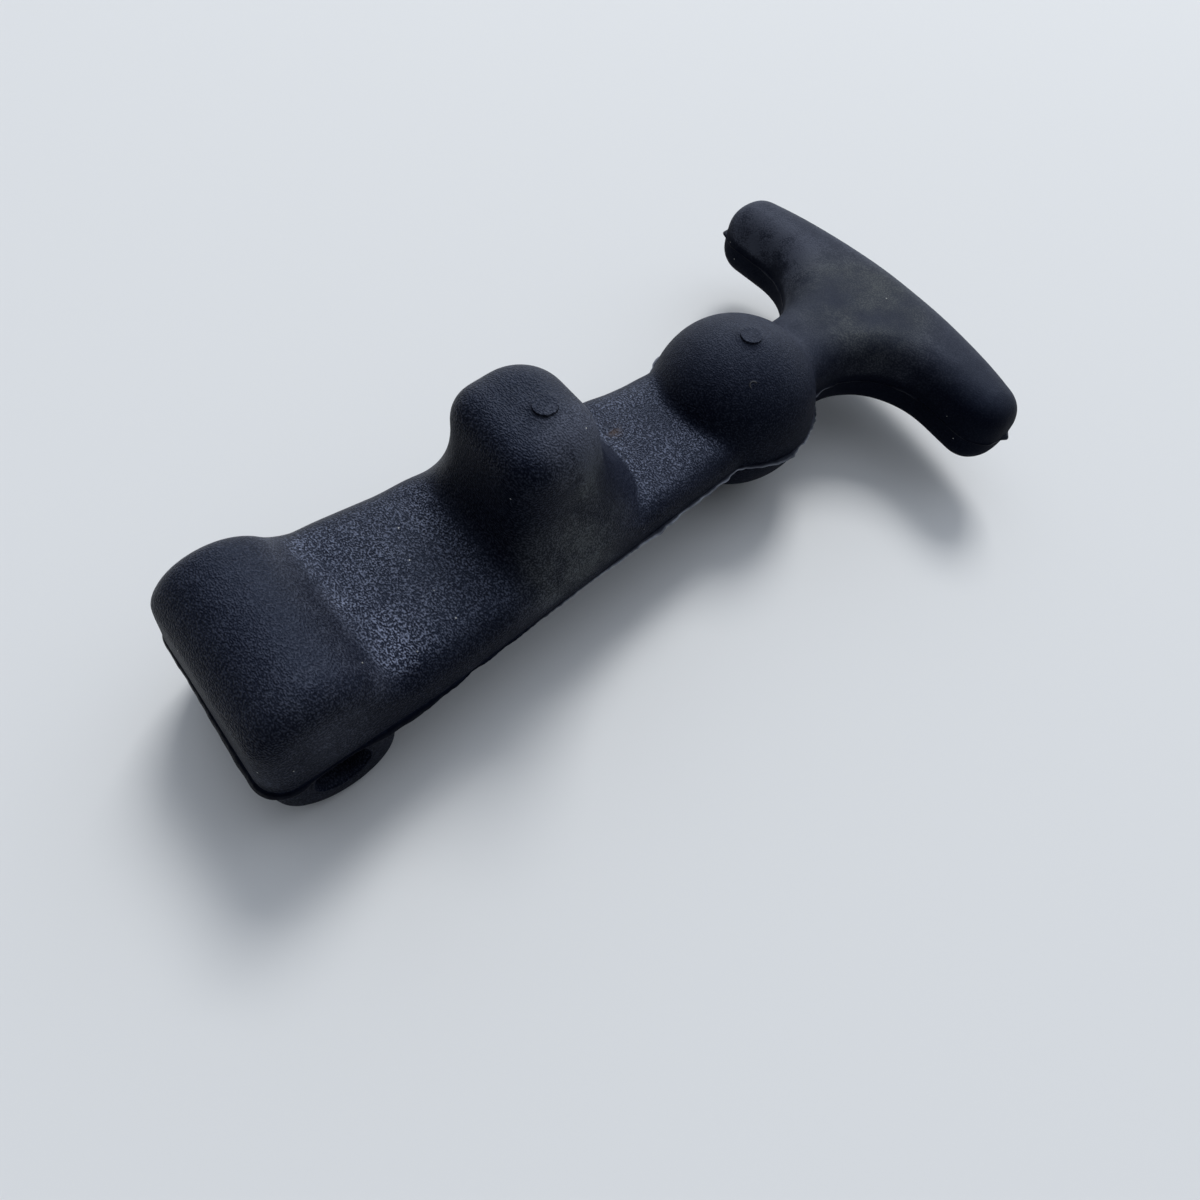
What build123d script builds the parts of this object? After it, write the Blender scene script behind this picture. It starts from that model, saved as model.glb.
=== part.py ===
from build123d import *
import os

os.makedirs("parts", exist_ok=True)

# Rubber T-handle draw latch: one solid EPDM moulding. The origin is the middle of the
# hinge-pin bore, +X runs along the strap to the handle and +Z is the outside face.
# The two mould halves meet on a flat parting plane above the pin.

# Hinge foot: an upright round-ended block with the pin through its lower round
parting_rise = 4.4  # parting plane above the pin axis
foot_radius = 9.7  # both rounds of the foot, seen from the side
crown_rise = 4.6  # centre of the upper round above the parting plane
foot_width = 32.4  # across the latch at the parting plane, along the pin
side_draft = 6.0  # degrees the outer half's sides lean in
crown_edge = 4.1  # rounding of the crown's and the strap's top edges
lobe_inset = 0.6  # how far the lower round's ends stand back from the crown's sides
valley_radius = 5.0  # hollow between the crown and the strap
pin_bore = 8.0

# Strap: waisted slab from the foot to the ball
strap_rise_pin = 8.2  # line of the top face above the parting plane, at the pin
strap_rise_knob = 5.4  # the same line at the knob's middle
strap_rise_ball = 4.2  # the same line at the ball's centre
strap_drop = 3.0  # underside below the parting plane
strap_width_ball = 22.0  # at the ball's centre
taper_start = 14.5  # pin axis to where the sides start to draw in
side_bend = 60.0  # plan radius where the sides turn into the taper
top_bend = 80.0  # radius where the top face levels off
back_edge = 2.6  # rounding of the lower round's ends and of the strap's bottom edges
under_blend = 4.0  # hollow between the lower round and the underside

# Knob: the thumb stop on the outside face. Its foot spreads over the strap's whole width,
# draws in to a waist and rises to a blunt top
knob_face = 33.3  # pin axis to the side that faces the hinge, from the waist up
knob_toe = 4.5  # how far the foot spreads from that side towards the hinge
knob_foot_length = 35.5  # from there to the foot's end on the handle side
knob_foot_lap = 1.6  # how much wider than the hinge foot it is before its sides are cut flush
knob_foot_nose = 15.0  # plan radius of the foot's corners on the handle side
knob_waist_rise = 14.5  # height of the waist above the parting plane
knob_waist_length = 19.0
knob_waist_width = 21.0
knob_waist_nose = 9.0
knob_rise = 26.2  # the top above the parting plane, at the disc
knob_tilt = 6.0  # degrees the top climbs towards the handle
knob_top_length = 15.5
knob_top_width = 20.5
knob_top_nose = 7.0
knob_corner = 5.0  # plan radius of its corners on the hinge side
knob_edge = 5.0  # rounding of the top
knob_blend = 6.0  # hollow where the foot runs out on the strap

# Ball: holds behind the keeper's fork
ball_reach = 85.7  # pin axis to the ball's centre
ball_radius = 14.4
ball_blend = 3.0  # hollow where the strap and the neck run into the ball

# Handle: swept-back T grip on a round neck
handle_reach = 130.0  # pin axis to the grip's outer edge
grip_span = 67.5
grip_sweep = 6.0  # how far the tips fall back from the outer edge
grip_depth = 14.8  # an arm's size along the latch, beside the neck
tip_depth = 10.6  # the same near the tips
grip_height = 14.0
neck_width = 15.2
neck_blend = 13.0  # plan radius between the neck and the arms
tip_radius = 5.2
grip_edge = 5.4

# Ejector discs moulded on the knob and on the ball
disc_diameter = 3.5
knob_disc_reach = 43.1  # pin axis to the knob's disc
knob_disc_side = -1.5  # how far that disc sits off the middle
disc_rise = 0.3

nearby = 0.1  # half the band in which a selector looks for an edge or corner

parting = Plane.XY.offset(parting_rise)
side = Plane(origin=(0, 0, parting_rise), x_dir=(1, 0, 0), z_dir=(0, -1, 0))
foot_half = foot_width / 2
ball_half = strap_width_ball / 2
knob_middle = knob_face + knob_waist_length / 2
knob_foot_width = foot_width + knob_foot_lap
knob_top = Plane((knob_disc_reach, knob_disc_side, parting_rise + knob_rise)).rotated((0, -knob_tilt, 0))


def strap_plan(inset):
    """Plan outline of the foot and strap, drawn in by an inset all round."""
    end = foot_radius - inset
    with BuildSketch() as plan:
        with BuildLine():
            Polyline(
                (-end, -foot_half + inset),
                (taper_start, -foot_half + inset),
                (ball_reach, -ball_half + inset),
                (ball_reach, ball_half - inset),
                (taper_start, foot_half - inset),
                (-end, foot_half - inset),
                close=True,
            )
        make_face()
        bends = plan.vertices().filter_by_position(Axis.X, 0, ball_reach / 2)
        fillet(bends, radius=side_bend)
    return plan.sketch


def is_side(face):
    """Whether a face looks across the latch."""
    return abs(face.normal_at().Y) > abs(face.normal_at().X) + abs(face.normal_at().Z)


def is_upright(edge):
    """Whether an edge stands up along the draft."""
    return abs((edge % 0.5).Z) > 2 * abs((edge % 0.5).X)


def skin_rim(half):
    """Edges along a moulded half where its skin turns down to its sides."""
    rim = half.faces().filter_by(is_side).edges()
    rim = rim.filter_by(lambda edge: abs(edge.center().Z - parting_rise) > nearby)
    return rim.filter_by(lambda edge: edge.center().X < -foot_radius / 2 or not is_upright(edge))


def knob_section(start, length, width, nose):
    """Level section of the knob, from a distance along the strap towards the handle."""
    with BuildSketch() as section:
        with Locations((start + length / 2, 0)):
            Rectangle(length, width)
        fillet(section.vertices().group_by(Axis.X)[0], radius=knob_corner)
        fillet(section.vertices().group_by(Axis.X)[-1], radius=nose)
    return section.sketch


# Outer half: crown of the foot and top of the strap
with BuildPart() as outer_half:
    with BuildSketch(side) as outer_side:
        with Locations((0, crown_rise)):
            Circle(foot_radius)
        with Locations((0, crown_rise / 2)):
            Rectangle(2 * foot_radius, crown_rise)
        with Locations((0, -foot_radius)):
            Rectangle(2 * foot_radius, 2 * foot_radius, mode=Mode.SUBTRACT)
        with BuildLine():
            Polyline(
                (0, 0),
                (0, strap_rise_pin),
                (knob_middle, strap_rise_knob),
                (ball_reach, strap_rise_ball),
                (ball_reach, 0),
                close=True,
            )
        make_face()
        valley = outer_side.vertices().filter_by_position(Axis.X, foot_radius / 2, foot_radius)
        fillet(valley, radius=valley_radius)
        bend = outer_side.vertices().filter_by_position(Axis.X, knob_face, knob_face + knob_foot_length)
        fillet(bend, radius=top_bend)
    extrude(amount=foot_half, both=True)
    with BuildSketch(parting):
        add(strap_plan(0))
    extrude(amount=knob_rise, taper=side_draft, mode=Mode.INTERSECT)
    fillet(skin_rim(outer_half), radius=crown_edge)

# Back half: lower round about the pin and the strap's underside
with BuildPart() as back_half:
    with BuildSketch(side) as back_side:
        with Locations((0, -parting_rise / 2)):
            Rectangle(2 * (foot_radius - lobe_inset), parting_rise)
        with Locations((0, -parting_rise)):
            Circle(foot_radius - lobe_inset)
        with Locations((ball_reach / 2, -strap_drop / 2)):
            Rectangle(ball_reach, strap_drop)
        hollow = back_side.vertices().filter_by_position(Axis.X, foot_radius / 2, foot_radius)
        fillet(hollow.sort_by(Axis.Y)[0], radius=under_blend)
    extrude(amount=foot_half, both=True)
    with BuildSketch(parting):
        add(strap_plan(lobe_inset))
    extrude(amount=-parting_rise - foot_radius, mode=Mode.INTERSECT)
    fillet(skin_rim(back_half), radius=back_edge)

# Handle: T grip with swept-back arms on a neck that grows out of the ball
with BuildPart() as handle:
    with BuildSketch(parting) as handle_plan:
        with BuildLine():
            outer_edge = ThreePointArc(
                (handle_reach - grip_sweep, -grip_span / 2),
                (handle_reach, 0),
                (handle_reach - grip_sweep, grip_span / 2),
            )
            Line(outer_edge @ 1, (handle_reach - grip_sweep - tip_depth, grip_span / 2))
            Line(
                (handle_reach - grip_sweep - tip_depth, grip_span / 2),
                (handle_reach - grip_depth, neck_width / 2),
            )
            Line((handle_reach - grip_depth, neck_width / 2), (ball_reach, neck_width / 2))
            Line((ball_reach, neck_width / 2), (ball_reach, -neck_width / 2))
            Line((ball_reach, -neck_width / 2), (handle_reach - grip_depth, -neck_width / 2))
            Line(
                (handle_reach - grip_depth, -neck_width / 2),
                (handle_reach - grip_sweep - tip_depth, -grip_span / 2),
            )
            Line((handle_reach - grip_sweep - tip_depth, -grip_span / 2), outer_edge @ 0)
        make_face()
        tips = handle_plan.vertices().filter_by(lambda v: abs(v.Y) > neck_width)
        fillet(tips, radius=tip_radius)
        crooks = handle_plan.vertices().filter_by_position(
            Axis.X, handle_reach - grip_depth - nearby, handle_reach - grip_depth + nearby
        )
        fillet(crooks, radius=neck_blend)
    extrude(amount=grip_height / 2, both=True)
    fillet(handle.edges().group_by(Axis.Z)[0] + handle.edges().group_by(Axis.Z)[-1], radius=grip_edge)

# Knob: lofted from its spread foot through a waist to the blunt top, its flanks cut
# off flush with the strap's sides
with BuildPart() as knob:
    with BuildSketch(parting):
        add(knob_section(knob_face - knob_toe, knob_foot_length, knob_foot_width, knob_foot_nose))
    with BuildSketch(parting.offset(knob_waist_rise)):
        add(knob_section(knob_face, knob_waist_length, knob_waist_width, knob_waist_nose))
    with BuildSketch(knob_top):
        with Locations((-knob_disc_reach, -knob_disc_side)):
            add(knob_section(knob_face, knob_top_length, knob_top_width, knob_top_nose))
    loft()
    fillet(knob.faces().sort_by(Axis.Z)[-1].edges(), radius=knob_edge)
    with BuildSketch(parting):
        add(strap_plan(0))
    extrude(amount=2 * knob_rise, taper=side_draft, mode=Mode.INTERSECT)

# The whole moulding
with BuildPart() as latch_strap:
    add(outer_half.part)
    add(knob.part)
    knob_seat = latch_strap.edges().filter_by_position(Axis.X, knob_face - knob_toe, knob_face)
    knob_seat = knob_seat.filter_by_position(Axis.Y, -nearby, nearby)
    fillet(knob_seat.sort_by(Axis.Z)[0], radius=knob_blend)
    add(back_half.part)
    with Locations((ball_reach, 0, parting_rise)):
        Sphere(ball_radius)
    add(handle.part)
    ball_rim = latch_strap.faces().filter_by(GeomType.SPHERE).edges()
    neck_ring = ball_rim.filter_by(lambda edge: edge.center().X > ball_reach + neck_width / 2)
    strap_ring = ball_rim.filter_by(lambda edge: edge.center().X < ball_reach - neck_width / 2)
    strap_ring = strap_ring.filter_by(lambda edge: edge.center().Z > parting_rise + nearby)
    fillet(neck_ring + strap_ring, radius=ball_blend)
    with Locations(Plane.XZ.offset(foot_half)):
        Hole(radius=pin_bore / 2)
    with Locations(knob_top, (ball_reach, 0, parting_rise + ball_radius)):
        Cylinder(radius=disc_diameter / 2, height=2 * disc_rise)

latch_strap.part.label = "latch_strap"
export_step(latch_strap.part, "parts/latch_strap.step")
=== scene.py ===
import math

import bmesh
import bpy
import numpy as np
from mathutils import Matrix, Vector, noise


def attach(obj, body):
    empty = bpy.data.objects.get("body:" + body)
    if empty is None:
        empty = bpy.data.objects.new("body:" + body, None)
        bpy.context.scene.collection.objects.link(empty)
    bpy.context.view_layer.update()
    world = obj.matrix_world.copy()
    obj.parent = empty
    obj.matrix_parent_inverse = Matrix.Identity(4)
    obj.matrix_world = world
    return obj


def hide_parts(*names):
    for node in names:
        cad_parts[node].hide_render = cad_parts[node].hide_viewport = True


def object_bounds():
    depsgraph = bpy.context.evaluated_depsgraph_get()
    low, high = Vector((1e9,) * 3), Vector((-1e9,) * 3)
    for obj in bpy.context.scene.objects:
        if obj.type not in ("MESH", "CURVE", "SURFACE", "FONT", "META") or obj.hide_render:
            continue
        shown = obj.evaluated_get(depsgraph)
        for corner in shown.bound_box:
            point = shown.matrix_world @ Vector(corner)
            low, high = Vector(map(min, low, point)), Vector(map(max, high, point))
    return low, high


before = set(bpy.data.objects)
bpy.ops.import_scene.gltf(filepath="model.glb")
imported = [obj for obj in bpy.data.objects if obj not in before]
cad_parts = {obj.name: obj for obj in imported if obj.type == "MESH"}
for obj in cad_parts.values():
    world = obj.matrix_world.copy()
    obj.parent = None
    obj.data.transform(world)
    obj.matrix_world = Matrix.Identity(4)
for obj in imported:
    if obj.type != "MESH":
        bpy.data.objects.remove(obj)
cad_low, cad_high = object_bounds()

# ---- Latch body -------------------------------------------------------------
# One EPDM rubber moulding from a two-part mould: hinge foot, strap, knob, ball and
# T grip. Its corners and hollows run softly into each other, as rubber leaves the
# mould, and only the edge along the parting is crisp.

MM = 0.001
SKIN_CELL = 0.47 * MM
PARTING = 4.4 * MM
PARTING_EDGE = (0.5 * MM, 1.6 * MM)
RELAX_PASSES = 9


def smooth_step(value, low, high):
    """0 below low, 1 above high, and a smooth rise between."""
    share = np.clip((value - low) / (high - low), 0, 1)
    return share * share * (3 - 2 * share)


def between(start, end, share):
    return start + (end - start) * share


def points_of(mesh):
    flat = np.empty(3 * len(mesh.vertices))
    mesh.vertices.foreach_get("co", flat)
    return flat.reshape(-1, 3)


def evaluated(piece):
    """The mesh that a piece's modifiers make."""
    return bpy.data.meshes.new_from_object(piece.evaluated_get(bpy.context.evaluated_depsgraph_get()))


def relax(piece, passes, softness):
    """Smooths a piece in place, at each point as much as its softness says."""
    group = piece.vertex_groups.new(name="soft")
    for level in range(1, 11):
        chosen = np.nonzero(np.round(softness * 10) == level)[0]
        group.add(chosen.tolist(), level / 10, "REPLACE")
    smoothing = piece.modifiers.new("relax", "SMOOTH")
    smoothing.factor = 0.5
    smoothing.iterations = passes
    smoothing.vertex_group = "soft"
    shaped = evaluated(piece)
    piece.modifiers.clear()
    piece.data = shaped
    piece.vertex_groups.clear()


def moulded_copy(node, name):
    """A new piece over a construction solid, skinned in even cells."""
    piece = bpy.data.objects.new(name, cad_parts[node].data.copy())
    piece.data.materials.clear()
    bpy.context.scene.collection.objects.link(piece)
    skin = piece.modifiers.new("skin", "REMESH")
    skin.mode = "VOXEL"
    skin.voxel_size = SKIN_CELL
    shaped = evaluated(piece)
    piece.modifiers.clear()
    piece.data = shaped
    return piece


body = moulded_copy("latch_strap", "latch_body")

# The shoulders of the crown and of the strap fall away over the outer half of the
# width, and the skin is nowhere quite flat. The swell needs a seed, because without
# one it starts from the clock.
FOOT_HALF = 16.2 * MM
BALL_HALF = 11.0 * MM
TAPER = (14.5 * MM, 85.7 * MM)
CROWN_TOP = 14.3 * MM
CROWN_FALL = 0.8 * MM
STRAP_TOP = 6.2 * MM
STRAP_FALL = 1.5 * MM
CROWN_END = (7 * MM, 12 * MM)
KNOB_START = (24 * MM, 31 * MM)
KNOB_END = (62 * MM, 68 * MM)
BALL_START = (70 * MM, 75 * MM)
SWELL = 0.10 * MM
SWELL_SIZE = 11 * MM
SWELL_SEED = 1

spots = points_of(body.data)
x, y, z = spots.T
half = between(FOOT_HALF, BALL_HALF, np.clip((x - TAPER[0]) / (TAPER[1] - TAPER[0]), 0, 1))
shoulder = np.clip((abs(y) / half - 0.5) / 0.5, 0, 1.1) ** 2
on_strap = smooth_step(x, *CROWN_END)
off_knob = 1 - smooth_step(x, *KNOB_START) * (1 - smooth_step(x, *KNOB_END))
off_ball = 1 - smooth_step(x, *BALL_START)
up_side = np.clip((z - PARTING) / between(CROWN_TOP, STRAP_TOP, on_strap), 0, 1)
z -= between(CROWN_FALL, STRAP_FALL, on_strap) * shoulder * up_side * off_knob * off_ball
noise.seed_set(SWELL_SEED)
swell = np.array([noise.noise_vector(Vector(spot) / SWELL_SIZE) for spot in spots])
spots += swell * SWELL
body.data.vertices.foreach_set("co", spots.ravel())
relax(body, RELAX_PASSES, 0.1 + 0.9 * smooth_step(abs(z - PARTING), *PARTING_EDGE))
for face in body.data.polygons:
    face.use_smooth = True


class Value:
    """One output in a node tree; arithmetic on it adds Math nodes."""

    def __init__(self, paint, socket):
        self.paint = paint
        self.socket = socket

    def math(self, operation, *terms):
        return self.paint.node("ShaderNodeMath", {"operation": operation}, dict(enumerate(terms)))

    def __add__(self, other):
        return self.math("ADD", self, other)

    def __sub__(self, other):
        return self.math("SUBTRACT", self, other)

    def __rsub__(self, other):
        return self.math("SUBTRACT", other, self)

    def __mul__(self, other):
        return self.math("MULTIPLY", self, other)

    def __lt__(self, other):
        return self.math("LESS_THAN", self, other)

    def __gt__(self, other):
        return self.math("GREATER_THAN", self, other)

    def __abs__(self):
        return self.math("ABSOLUTE", self)

    __radd__ = __add__
    __rmul__ = __mul__

    def clamped(self):
        return self.paint.node("ShaderNodeMath", {"operation": "ADD", "use_clamp": True}, {0: self, 1: 0})


class Paint:
    """The node tree of a material or of a world's air, and the calls that add to it."""

    def __init__(self, holder):
        holder.use_nodes = True
        self.holder = holder
        self.tree = holder.node_tree
        end = [node for node in self.tree.nodes if "Surface" in node.inputs][0]
        self.shader = end.inputs["Surface"].links[0].from_node

    def node(self, kind, settings=None, values=None, out=0):
        """Adds a node of any kind and gives one of its outputs."""
        made = self.tree.nodes.new(kind)
        for setting, value in (settings or {}).items():
            setattr(made, setting, value)
        self.feed(made, values or {})
        return Value(self, made.outputs[out])

    def feed(self, made, values):
        """Links or sets a node's sockets."""
        for socket, value in values.items():
            if isinstance(value, Value):
                self.tree.links.new(value.socket, made.inputs[socket])
            else:
                made.inputs[socket].default_value = value

    def mix(self, low, high, share):
        return self.node("ShaderNodeMix", {"data_type": "RGBA"}, {0: share, 6: low, 7: high}, out=2)

    def place(self):
        """Where a point lies on the latch."""
        return self.node("ShaderNodeTexCoord", out=3)

    def facing(self):
        """The way the skin faces, on the latch."""
        return self.node("ShaderNodeTexCoord", out=1)

    def parts(self, vector):
        """A vector's shares along the latch, across it and up."""
        return [self.node("ShaderNodeSeparateXYZ", {}, {"Vector": vector}, out) for out in range(3)]

    def stretched(self, place, by):
        return self.node("ShaderNodeVectorMath", {"operation": "MULTIPLY"}, {0: place, 1: by})

    def distance(self, place, spot):
        """How far a place is from a spot that is given in millimetres."""
        ends = {0: place, 1: [share * MM for share in spot]}
        return self.node("ShaderNodeVectorMath", {"operation": "DISTANCE"}, ends, out=1)

    def noise(self, place, size, detail=2, rough=0.5):
        values = {"Vector": place, "Scale": 1 / size, "Detail": detail, "Roughness": rough}
        return self.node("ShaderNodeTexNoise", {}, values)

    def cells(self, place, size, out=0):
        return self.node("ShaderNodeTexVoronoi", {}, {"Vector": place, "Scale": 1 / size}, out)

    def ramp(self, value, low, high):
        """0 below low, 1 above high, and a smooth rise between."""
        values = {"Value": value, "From Min": low, "From Max": high}
        return self.node("ShaderNodeMapRange", {"interpolation_type": "SMOOTHSTEP"}, values)

    def stretch(self, value, start, end):
        """1 along a stretch whose two ends each come in over the millimetres given."""
        starting = self.ramp(value, start[0] * MM, start[1] * MM)
        return starting * (1 - self.ramp(value, end[0] * MM, end[1] * MM))

    def near(self, place, centre, reach):
        """1 at a spot in millimetres, and a smooth fall to 0 at the reach."""
        return 1 - self.ramp(self.distance(place, centre), 0, reach * MM)


# The rubber is near black with a blue cast and a grain of fine leather. The mould's etching is deeper
# where it makes the strap's top face. The grain's ridges carry painted glints, lighter colour for the
# light they catch, strongest on the strap's upward face and most of all in a stripe beside the crown.
RUBBER_COLOUR = (0.0013, 0.0021, 0.0066, 1)
RIDGE_GLINT_COLOUR = (0.29, 0.33, 0.46, 1)
GRAIN_SIZE = 0.22 * MM
GRAIN_DEPTH = 0.14 * MM
WANDER_SIZE = 9 * MM
DRIFT_SIZE = 2.6 * MM
ETCHED_AND_GLINT_START = (4.5, 9)
ETCHED_AND_GLINT_END = (74, 80)
ETCHED_AND_GLINT_TOP = (11.5 * MM, 15 * MM)
STRAP_EDGE = 17.2 * MM
STRAP_TAPER = 0.073
GLINT_STRIPE_START = (7.5, 10)
GLINT_STRIPE_END = (13, 17)
BORE_WALL = 4.3 * MM

# Wax from the compound blooms on it as a thin dusty film and in patches. The film is painted lighter on
# faces that look up, as sheen, and the patches are partly painted highlights: on the knob's nose, on the
# grip and on the crown's slope towards the window. Each patch has its centre, its reach and its strength,
# and two of them are olive.
FILM_AND_SHEEN_COLOUR = (0.0165, 0.0200, 0.0320, 1)
VIOLET_BLOOM_AND_SHEEN = (0.047, 0.052, 0.070, 1)
OLIVE_BLOOM_AND_SHEEN = (0.058, 0.063, 0.064, 1)
BLOOMS_AND_HIGHLIGHTS = (
    ((118, 0, 12), 28, 1.15),
    ((111, 19, 12), 14, 3.0),
    ((115, 27, 11), 10, 2.4),
    ((45, -8, 27), 9, 4.2),
    ((42, -11, 12), 13, 1.25),
    ((34, -14, 7), 8, 0.8),
    ((86, 6, 20), 15, 0.3),
    ((2, -12, 16), 12, 0.3),
    ((0, -16, 9), 9, 0.7),
    ((-9, -14, 8), 7, 0.6),
)
HANDLE_OLIVE = ((116, -1, 12), 18)
KNOB_OLIVE = ((42, -11, 14), 17)
HOLLOW_START = (5, 8)
HOLLOW_END = (10, 13)
HOLLOW_RISE = (10 * MM, 13 * MM)
BLOOM_AND_HIGHLIGHT_FOOT = (5.2 * MM, 6.6 * MM)

# A brown stain on the strap, a nick that the mould left in the ball, and specks of dust.
STAIN_COLOUR = (0.050, 0.030, 0.018, 1)
STAIN = ((61.5, 3.5, 9.5), 2.2)
DUST_COLOUR = (0.42, 0.42, 0.40, 1)
SPECK_SPACING = 1.7 * MM
NICK = (80.9, -6.4, 16.5)
NICK_RADIUS = 0.6 * MM
NICK_HALF_WIDTH = (0.04 * MM, 0.16 * MM)
NICK_OPENING = (-6.6 * MM, -6.2 * MM)


def etched_and_glinting_face(paint, place, up, wander):
    """How deep the mould's etching goes and how strong the painted glints are: the strap's top face where
    it looks up, patchy and fading to its edges.
    """
    along, across, rise = paint.parts(place)
    inboard = STRAP_EDGE - along * STRAP_TAPER - abs(across)
    etched_and_glints = paint.stretch(along, ETCHED_AND_GLINT_START, ETCHED_AND_GLINT_END) * (1 - paint.ramp(rise, *ETCHED_AND_GLINT_TOP))
    # Both keep to faces that look up, where the painted glints stand for the light they catch.
    etched_and_glints = etched_and_glints * paint.ramp(up, 0.72, 0.98) * (0.25 + paint.ramp(inboard, 0.5 * MM, 6 * MM) * 0.75)
    return etched_and_glints * (0.4 + paint.ramp(wander, 0.3, 0.6) * 0.6)


def wax_bloom_and_highlights(paint, place, wander, drift, grain):
    """Where wax has bloomed and where highlights are painted, above the parting and mostly on the grain's
    ridges.
    """
    along, _, rise = paint.parts(place)
    # Painted light on the crown's slope that faces the window.
    bloom_and_highlights = paint.stretch(along, HOLLOW_START, HOLLOW_END) * paint.ramp(rise, *HOLLOW_RISE) * 0.7
    for centre, reach, strength in BLOOMS_AND_HIGHLIGHTS:
        bloom_and_highlights = bloom_and_highlights + paint.near(place, centre, reach) * strength
    bloom_and_highlights = bloom_and_highlights * paint.ramp(wander, 0.24, 0.68) * paint.ramp(drift, -0.05, 0.7)
    return (bloom_and_highlights * paint.ramp(rise, *BLOOM_AND_HIGHLIGHT_FOOT) * (0.5 + paint.ramp(grain, 0.5, 0.85))).clamped()


def moulding_nick(paint, place):
    """A crescent: one side of a thin ring."""
    across = paint.parts(place)[1]
    from_ring = abs(paint.distance(place, NICK) - NICK_RADIUS)
    return (1 - paint.ramp(from_ring, *NICK_HALF_WIDTH)) * paint.ramp(across, *NICK_OPENING)


def dust_specks(paint, place):
    """A few cells of many, each with a speck in its middle."""
    picked = paint.parts(paint.cells(place, SPECK_SPACING, out=1))[0] > 0.93
    return (paint.cells(place, SPECK_SPACING) < 0.07) * picked


def rubber():
    paint = Paint(bpy.data.materials.new("moulded_rubber"))
    place = paint.place()
    along = paint.parts(place)[0]
    up = paint.parts(paint.facing())[2]
    wander = paint.noise(place, WANDER_SIZE, 3)
    drift = paint.noise(place, DRIFT_SIZE)
    weave = paint.stretched(place, (1, 0.7, 1))
    grain = paint.noise(weave, GRAIN_SIZE, 0.5) + paint.cells(weave, GRAIN_SIZE * 1.6) * 0.25

    etched_and_glints = etched_and_glinting_face(paint, place, up, wander)
    # A stripe of stronger painted glints beside the crown.
    glint_stripe = paint.stretch(along, GLINT_STRIPE_START, GLINT_STRIPE_END)
    plain = 1 - paint.ramp(along, 66 * MM, 76 * MM) * 0.3 - paint.ramp(along, 92 * MM, 104 * MM) * 0.5
    bloom_and_highlights = wax_bloom_and_highlights(paint, place, wander, drift, grain)
    olive = (paint.near(place, *HANDLE_OLIVE) + paint.near(place, *KNOB_OLIVE)) * 2
    # Painted sheen: the dusty film is made lighter on faces that look up to the light.
    film_and_top_sheen = paint.ramp(up, 0.4, 1.0) * (0.4 + paint.ramp(drift, 0.2, 0.8) * 0.6)
    nick = moulding_nick(paint, place)

    colour = paint.mix(RUBBER_COLOUR, FILM_AND_SHEEN_COLOUR, film_and_top_sheen * (0.40 + paint.ramp(grain, 0.4, 0.85) * 0.14))
    # Bloom, partly painted highlights and sheen, in violet and olive.
    colour = paint.mix(colour, paint.mix(VIOLET_BLOOM_AND_SHEEN, OLIVE_BLOOM_AND_SHEEN, olive.clamped()), bloom_and_highlights)
    # Painted glints: the grain's ridges are made lighter for the light they catch.
    painted_ridge_glints = paint.ramp(grain, 0.54, 0.92) * (0.07 * plain + etched_and_glints * (0.36 + glint_stripe * 0.32))
    colour = paint.mix(colour, RIDGE_GLINT_COLOUR, painted_ridge_glints)
    colour = paint.mix(colour, STAIN_COLOUR, paint.near(place, *STAIN) * paint.ramp(drift, 0.3, 0.6))
    colour = paint.mix(colour, DUST_COLOUR, nick * 0.12)
    colour = paint.mix(colour, DUST_COLOUR, dust_specks(paint, place))

    height = grain * (1.15 * plain + etched_and_glints * 0.6) + drift * 0.3 + wander * 1.5 + nick * 1.2
    relief = paint.node("ShaderNodeBump", {}, {"Height": height, "Strength": 1.0, "Distance": GRAIN_DEPTH})
    in_bore = paint.distance(paint.stretched(place, (1, 0, 1)), (0, 0, 0)) < BORE_WALL
    rough = 0.36 + paint.ramp(along, 28 * MM, 110 * MM) * 0.18 + wander * 0.06 + bloom_and_highlights * 0.08
    rough = rough - etched_and_glints * 0.12 + in_bore * 0.45 + (1 - paint.ramp(up, -0.2, 0.5)) * 0.25
    paint.feed(paint.shader, {"Specular IOR Level": 0.07, "Specular Tint": (0.55, 0.70, 1.0, 1)})
    paint.feed(paint.shader, {"Base Color": colour, "Roughness": rough, "Normal": relief})
    return paint.holder


body.data.materials.append(rubber())
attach(body, "root")
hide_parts("latch_strap")

# ---- Flash ------------------------------------------------------------------
# The fin of rubber that squeezed out where the mould's two halves met. It runs round
# the whole outline: a clean lip on the foot, trimmed along the strap, torn by the
# ball, and a small nib at each tip of the grip.

LINE_STEP = 0.3 * MM
LINE_PASSES = 6
FIN_ROOT = 0.5 * MM
FIN_THICK = 0.34 * MM
FIN_LEAST = 0.10
FIN_MOST = 1.3
NIB_LENGTH = 1.3 * MM
NIB_THICK = 0.7 * MM
# Reach out of the root, height in half thicknesses, and how pale the edge is, as torn rubber and as a
# painted highlight
FIN_PROFILE = (
    (-1, 0.7, 0),
    (0, 1, 0),
    (0.55, 0.75, 0.08),
    (1, 0.2, 0.9),
    (0.95, -0.3, 1),
    (0.5, -0.7, 0.2),
    (0, -1, 0),
    (-1, -0.7, 0),
)


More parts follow.
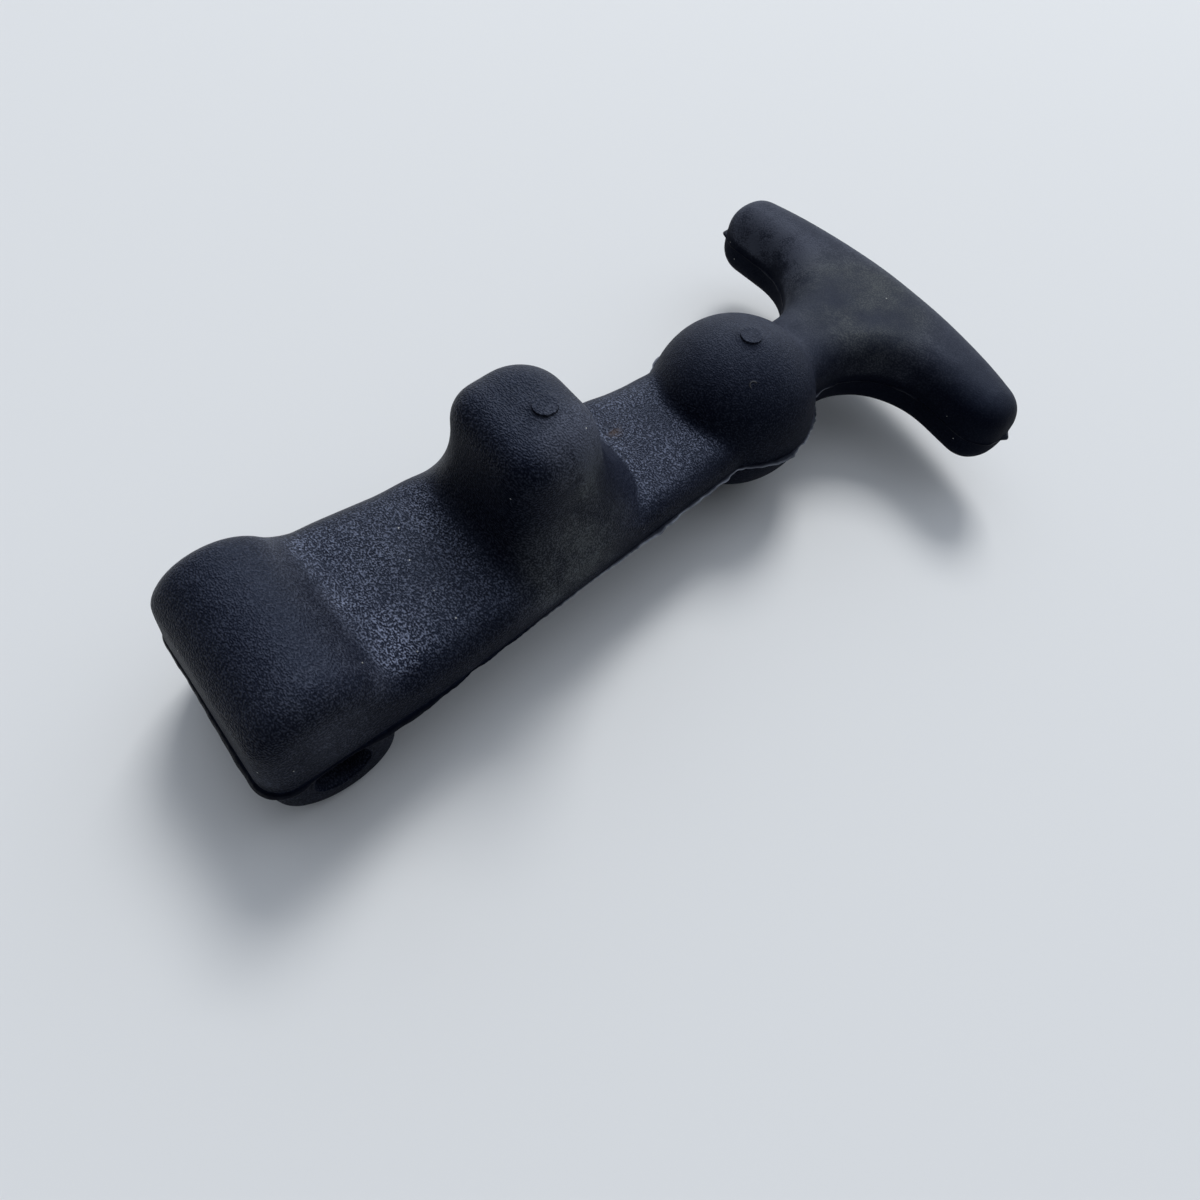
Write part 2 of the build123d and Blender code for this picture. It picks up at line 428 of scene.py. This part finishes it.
def outline_at(piece, height):
    """A piece's outline at a height: points an even step apart, anticlockwise from above."""
    cut = bmesh.new()
    cut.from_mesh(piece.data)
    everything = cut.verts[:] + cut.edges[:] + cut.faces[:]
    made = bmesh.ops.bisect_plane(cut, geom=everything, plane_co=(0, 0, height), plane_no=(0, 0, 1))
    links = {}
    for edge in made["geom_cut"]:
        if isinstance(edge, bmesh.types.BMEdge):
            for one, other in (edge.verts, reversed(edge.verts)):
                links.setdefault(one, []).append(other)
    start = max(links, key=lambda vert: vert.co.x)
    walked = [start, links[start][0]]
    while walked[-1] != start:
        ahead = [vert for vert in links[walked[-1]] if vert != walked[-2]]
        walked.append(ahead[0])
    line = np.array([vert.co[:2] for vert in walked])
    cut.free()
    steps = np.linalg.norm(np.diff(line, axis=0), axis=1)
    reach = np.concatenate([[0], np.cumsum(steps)])
    even = np.linspace(0, reach[-1], int(reach[-1] / LINE_STEP), endpoint=False)
    line = np.column_stack([np.interp(even, reach, line[:, axis]) for axis in (0, 1)])
    for _ in range(LINE_PASSES):
        line = (np.roll(line, 1, axis=0) + 2 * line + np.roll(line, -1, axis=0)) / 4
    area = np.sum(line[:, 0] * np.roll(line[:, 1], -1) - np.roll(line[:, 0], -1) * line[:, 1])
    return line if area > 0 else line[::-1]


def ragged(line, size, seed):
    """Uneven values along a line, about -1 to 1."""
    return np.array([noise.noise(Vector((px / size, py / size, seed))) for px, py in line])


def nib_at(line, spot, reach):
    """1 where a line passes a spot, and a soft fall to nothing past the reach."""
    return np.exp(-(np.hypot(*(line - spot).T) / reach) ** 2)


def stitched(rings, size, loop):
    """Quads from each ring of points to the next, and from the last to the first in a loop."""
    quads = []
    for ring in range(rings if loop else rings - 1):
        below = ring * size
        above = (ring + 1) % rings * size
        for step in range(size):
            after = (step + 1) % size
            quads.append((below + step, below + after, above + after, above + step))
    return quads


def turned_over(faces):
    """The same faces, looking the other way."""
    return [(face[0], *face[:0:-1]) for face in faces]


def new_piece(name, points, faces):
    """A piece in the scene; its quads are smooth and any other face is flat."""
    mesh = bpy.data.meshes.new(name)
    mesh.from_pydata(points, [], faces)
    mesh.update()
    for face in mesh.polygons:
        face.use_smooth = len(face.vertices) == 4
    piece = bpy.data.objects.new(name, mesh)
    bpy.context.scene.collection.objects.link(piece)
    return piece


def fin(name, line, wide, thick, sag):
    """A closed fin along the parting, rooted in the body and as wide as told at each point."""
    ahead = np.roll(line, -1, axis=0) - np.roll(line, 1, axis=0)
    ahead /= np.linalg.norm(ahead, axis=1)[:, None]
    out = np.column_stack([ahead[:, 1], -ahead[:, 0]])
    rings = []
    for reach, lift, _ in FIN_PROFILE:
        away = np.where(reach < 0, -FIN_ROOT, reach * wide)
        level = PARTING + lift * thick / 2 - sag * np.clip(reach, 0, 1) ** 2
        rings.append(np.column_stack([line + out * away[:, None], level]))
    quads = turned_over(stitched(len(rings), len(line), True))
    return new_piece(name, np.concatenate(rings).tolist(), quads)


def flash_rubber_with_painted_light():
    """Fresh rubber, painted darker than the skin as the shade along the fin, and pale at its outer edge: a
    painted highlight, paler where the fin was torn.
    """
    paint = Paint(bpy.data.materials.new("flash_rubber_with_painted_light"))
    frayed = paint.noise(paint.place(), 1.2 * MM, 3, 0.55)
    pale_and_highlight = paint.node("ShaderNodeAttribute", {"attribute_name": "torn_edge_and_highlight"}, out=2)
    # Painted shade in the dark colour, and a painted highlight in the pale one along the fin's outer edge.
    colour = paint.mix((0.0007, 0.0012, 0.0040, 1), (0.42, 0.45, 0.53, 1), pale_and_highlight)
    relief = paint.node("ShaderNodeBump", {}, {"Height": frayed, "Strength": 1.0, "Distance": 0.25 * MM})
    paint.feed(paint.shader, {"Specular IOR Level": 0.06, "Specular Tint": (0.52, 0.64, 1.0, 1)})
    paint.feed(paint.shader, {"Base Color": colour, "Roughness": 0.42 + frayed * 0.1, "Normal": relief})
    return paint.holder


parting_line = outline_at(body, PARTING + 0.05 * MM)
px, py = parting_line.T
near_side = (py < 0) * 1.0
end_face = abs(py) > 12 * MM
front = 1 - smooth_step(px, -9.5 * MM, -8.0 * MM)
foot_side = (1 - smooth_step(px, 12 * MM, 20 * MM)) * end_face
over_bore = np.exp(-(px / (4.6 * MM)) ** 4) * end_face
handle = smooth_step(px, 98 * MM, 104 * MM)
torn = smooth_step(px, 44 * MM, 54 * MM) * (1 - smooth_step(px, 97 * MM, 101 * MM))
nib = nib_at(parting_line, (115.2 * MM, 33.2 * MM), 1.0 * MM)
nib += 0.6 * nib_at(parting_line, (120.6 * MM, -33.4 * MM), 0.9 * MM)

# The fin's width, in millimetres until the last line
calm = np.clip(front + foot_side, 0, 1)
wide = 0.28 + (0.22 - 0.12 * calm) * ragged(parting_line, 2.4 * MM, 1.0)
wide += (0.10 - 0.07 * calm) * ragged(parting_line, 0.8 * MM, 2.0)
tatters = 0.7 * ragged(parting_line, 3.1 * MM, 3.0) + 0.25 * ragged(parting_line, 0.9 * MM, 4.0)
wide += torn * np.clip(0.32 + tatters, 0, 0.7)
foot_side = foot_side * (1 - over_bore)
wide += front * (0.10 + 0.45 * smooth_step(-py, -14 * MM, 14 * MM))
wide += foot_side * near_side * (1 - front) * 0.45
wide -= handle * 0.12
wide = np.clip(wide, FIN_LEAST, FIN_MOST) * MM + nib * NIB_LENGTH

# The lip is thick, and it droops more than the rest
lip = np.clip(front + foot_side * near_side, 0, 1)
sag = (0.08 + 0.10 * ragged(parting_line, 2.0 * MM, 5.0)) * MM
sag += wide * 0.6 * np.clip(front + foot_side, 0, 1)
thick = FIN_THICK * (1 + 0.35 * (1 - lip) * ragged(parting_line, 1.5 * MM, 6.0) + 1.2 * lip)
flash = fin("parting_flash", parting_line, wide, thick + nib * NIB_THICK, sag)

# The pale edge is partly a painted highlight along the fin's outer edge and partly torn rubber: most from
# the knob to the ball, less round the ball, and hardly on the handle
pale_and_highlight = 0.45 * smooth_step(px, 30 * MM, 40 * MM) + 0.55 * smooth_step(px, 44 * MM, 52 * MM)
pale_and_highlight *= (1 - handle) * (0.85 + 1.1 * ragged(parting_line, 4.0 * MM, 7.0))
pale_and_highlight *= 1 - 0.35 * smooth_step(px, 74 * MM, 80 * MM)
pale_and_highlight += nib * 0.15 + handle * 0.14 * (0.2 + 1.6 * ragged(parting_line, 8.0 * MM, 8.0))
pale_and_highlight = np.clip(pale_and_highlight, 0, 1)
torn_edge_and_highlight = flash.data.attributes.new("torn_edge_and_highlight", "FLOAT", "POINT")
torn_edge_and_highlight.data.foreach_set("value", np.concatenate([pale_and_highlight * share for _, _, share in FIN_PROFILE]))

flash.data.materials.append(flash_rubber_with_painted_light())
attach(flash, "root")

# ---- Bore flash -------------------------------------------------------------
# A thin ragged ring of rubber at each mouth of the pin bore, where the mould's core
# pin met its two halves.

RING_RADIUS = 4.33 * MM
RING_THICK = 0.20 * MM
RING_SUNK = 0.05 * MM
RING_STEPS = 120
RING_SIDES = 8
MOUTH = 15.6 * MM


def mouth_ring(name, side):
    """A ragged ring round the bore's mouth on one side, seated in the skin."""
    points = []
    for step in range(RING_STEPS):
        around = 2 * math.pi * step / RING_STEPS
        spot = Vector((math.cos(around) * 2.5, math.sin(around) * 2.5, 7.0 + side))
        thick = RING_THICK * (0.85 + 0.5 * noise.noise(spot) + 0.25 * noise.noise(spot * 3.1))
        for turn in range(RING_SIDES):
            roll = 2 * math.pi * turn / RING_SIDES
            away = RING_RADIUS + thick * math.cos(roll)
            out = side * (MOUTH - RING_SUNK + thick * math.sin(roll))
            points.append((away * math.cos(around), out, away * math.sin(around)))
    quads = stitched(RING_STEPS, RING_SIDES, True)
    return new_piece(name, points, turned_over(quads) if side < 0 else quads)


for ring in (mouth_ring("bore_flash_near", -1), mouth_ring("bore_flash_far", 1)):
    ring.data.materials.append(body.data.materials[0])
    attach(ring, "root")

# ---- Ejector discs ----------------------------------------------------------
# The round marks that the mould's ejector pins leave, one on the knob and one on the
# ball: thin discs that stand proud of the skin, of the same rubber.

DISC_RADIUS = 1.78 * MM
DISC_PROUD = 0.42 * MM
DISC_ROUND = 0.12 * MM
DISC_SIDES = 64
ROUND_STEPS = 5
SEAT_RADIUS = 2.6 * MM
SEAT_STEPS = 12
KNOB_DISC = (43.1 * MM, -1.5 * MM)
KNOB_SKIN_BULGE = 0.1 * MM
BALL_DISC = (85.7 * MM, 0)
BALL_SKIN_BULGE = 0.25 * MM


def disc_profile():
    """Radius and height up the disc's side and over its rounded rim."""
    points = [(DISC_RADIUS, -2 * DISC_PROUD), (DISC_RADIUS, DISC_PROUD - DISC_ROUND)]
    for step in range(1, ROUND_STEPS + 1):
        angle = math.pi / 2 * step / ROUND_STEPS
        radius = DISC_RADIUS - DISC_ROUND + DISC_ROUND * math.cos(angle)
        points.append((radius, DISC_PROUD - DISC_ROUND + DISC_ROUND * math.sin(angle)))
    return points


def ejector_disc(name, centre, axis):
    """A disc with a flat top, standing on a centre along an axis."""
    seat = Matrix.Translation(centre) @ axis.to_track_quat("Z", "Y").to_matrix().to_4x4()
    profile = disc_profile()
    points = []
    for radius, height in profile:
        for step in range(DISC_SIDES):
            angle = 2 * math.pi * step / DISC_SIDES
            points.append(seat @ Vector((radius * math.cos(angle), radius * math.sin(angle), height)))
    bottom = list(range(DISC_SIDES))
    top = [(len(profile) - 1) * DISC_SIDES + step for step in bottom]
    return new_piece(name, points, stitched(len(profile), DISC_SIDES, False) + [bottom[::-1], top])


def seat_on(piece, reach, side):
    """The middle and the upward normal of the skin just round a disc, felt for from above."""
    hits = []
    for step in range(SEAT_STEPS):
        angle = 2 * math.pi * step / SEAT_STEPS
        above = Vector((reach + SEAT_RADIUS * math.cos(angle), side + SEAT_RADIUS * math.sin(angle), 1))
        hits.append(piece.ray_cast(above, Vector((0, 0, -1)))[1])
    touched = np.array(hits)
    middle = touched.mean(axis=0)
    normal = np.linalg.svd(touched - middle)[2][2]
    return Vector(middle), Vector(normal * np.sign(normal[2]))


bpy.context.view_layer.update()
knob_seat, knob_up = seat_on(body, *KNOB_DISC)
ball_seat, ball_up = seat_on(body, *BALL_DISC)
knob_disc = ejector_disc("knob_ejector_disc", knob_seat + knob_up * KNOB_SKIN_BULGE, knob_up)
ball_disc = ejector_disc("ball_ejector_disc", ball_seat + ball_up * BALL_SKIN_BULGE, ball_up)
for disc in (knob_disc, ball_disc):
    disc.data.materials.append(body.data.materials[0])
    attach(disc, "root")

# ---- Floor ------------------------------------------------------------------
# A plain pale table top. The latch lies on it on the round of its foot and on its
# ball, so it slopes a little from the one to the other.

FOOT_UNDERSIDE = -9.1 * MM
BALL_UNDERSIDE = -10.0 * MM
BALL_REACH = 85.7 * MM
FLOOR_HALF = 900 * MM

corners = []
for along, across in ((-1, -1), (1, -1), (1, 1), (-1, 1)):
    reach = along * FLOOR_HALF
    level = between(FOOT_UNDERSIDE, BALL_UNDERSIDE, reach / BALL_REACH)
    corners.append((reach, across * FLOOR_HALF, level))
floor = new_piece("floor", corners, [(0, 1, 2, 3)])
table = Paint(bpy.data.materials.new("pale_table"))
table.feed(table.shader, {"Base Color": (0.76, 0.77, 0.77, 1), "Roughness": 0.9, "Specular IOR Level": 0.1})
floor.data.materials.append(table.holder)

# ---- Light ------------------------------------------------------------------
# One soft window up on the far right, and a plain cool room that is lighter on the
# window's side, above all where the rubber mirrors it. Behind the latch it is pale.

WINDOW_PLACE = Vector((1.17, 0.93, 1.72))
WINDOW_SIZE = 0.75
WINDOW_WATTS = 28.0
WINDOW_SIDE = Vector((0.58, 0.40, 0.70)).normalized()
ROOM_COLOUR = (0.84, 0.90, 1.0, 1)
BACKDROP = 0.9

window = bpy.data.lights.new("window", "AREA")
window.size = WINDOW_SIZE
window.energy = WINDOW_WATTS
window_stand = bpy.data.objects.new("window", window)
window_stand.location = WINDOW_PLACE
towards_latch = (cad_low + cad_high) / 2 - WINDOW_PLACE
window_stand.rotation_euler = towards_latch.to_track_quat("-Z", "Y").to_euler()
bpy.context.scene.collection.objects.link(window_stand)

room = bpy.data.worlds.new("room")
air = Paint(room)
sides = {0: air.node("ShaderNodeTexCoord"), 1: WINDOW_SIDE}
to_window = air.node("ShaderNodeVectorMath", {"operation": "DOT_PRODUCT"}, sides, out=1)
seen, mirrored = air.node("ShaderNodeLightPath"), air.node("ShaderNodeLightPath", out=3)
glow = 0.16 + air.ramp(to_window, 0.2, 1.0) * (0.92 + mirrored * 2.5)
air.feed(air.shader, {"Color": ROOM_COLOUR, "Strength": glow * (1 - seen) + seen * BACKDROP})
bpy.context.scene.world = room
bpy.context.scene.view_settings.view_transform = "Standard"

# ---- Camera -----------------------------------------------------------------
# A phone held close above the hinge foot, looking down along the strap.

EYE_PLACE = (-4.52 * MM, -58.76 * MM, 112.44 * MM)
EYE_TURN = (29.590, -5.388, -39.180)

eye = bpy.data.cameras.new("eye")
eye.sensor_width = 36
eye.lens = 25.5
eye.clip_start = 0.005
camera = bpy.data.objects.new("eye", eye)
camera.location = EYE_PLACE
camera.rotation_euler = [math.radians(turn) for turn in EYE_TURN]
bpy.context.scene.collection.objects.link(camera)
bpy.context.scene.camera = camera
